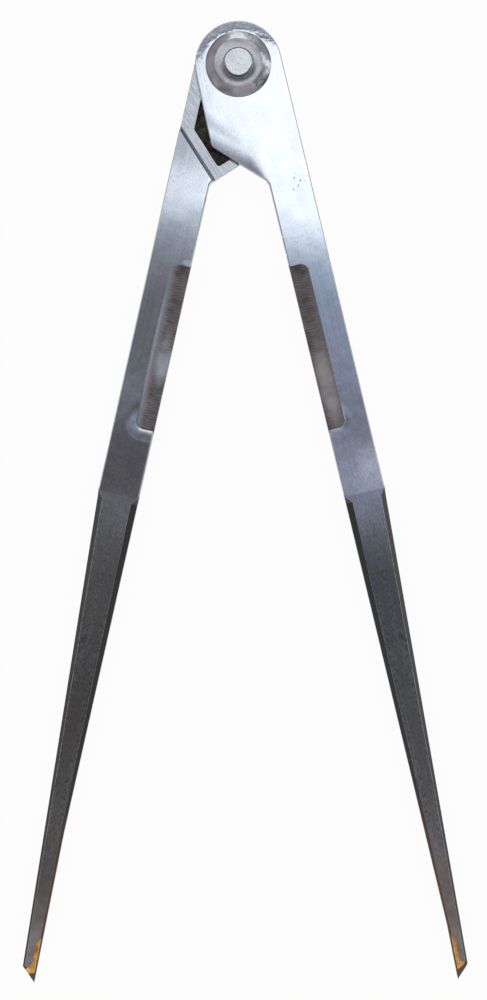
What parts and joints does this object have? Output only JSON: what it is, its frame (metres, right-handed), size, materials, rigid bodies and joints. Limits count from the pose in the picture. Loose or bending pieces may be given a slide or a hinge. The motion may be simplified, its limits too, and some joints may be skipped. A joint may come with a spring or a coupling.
{
  "type": "steel compass",
  "caption": "Firm-joint marking-out compass: tapered steel legs on a riveted lap joint, with brazed hard points for scribing circles and setting off distances on metal.",
  "frame": {"origin": "on the pivot axis, at the flat back of the joint that the compass lies on", "axes": "+Z along the pivot axis towards the washer, +Y along the line between the legs towards the head, +X towards the leg that lies in front at the joint"},
  "size_m": [0.1356, 0.2926, 0.0125],
  "materials": {
    "leg_steel": "forged, ground and finely brushed along the leg",
    "washer_steel": "turned",
    "pin_steel": "face ground",
    "hard_metal": "ground cemented carbide",
    "braze": "brazed, as flowed"
  },
  "bodies": {
    "left_side": {"left_leg": "leg_steel", "left_point": "hard_metal", "left_braze": "braze", "pivot_pin": "pin_steel", "joint_washer": "washer_steel"},
    "right_side": {"right_leg": "leg_steel", "right_point": "hard_metal", "right_braze": "braze"}
  },
  "joints": [
    {"name": "leg_hinge", "type": "hinge", "parent": "left_side", "child": "right_side", "pos_m": [0, 0, 0.0057], "axis": [0, 0, 1], "range_deg": [-26, 153.85]}
  ]
}
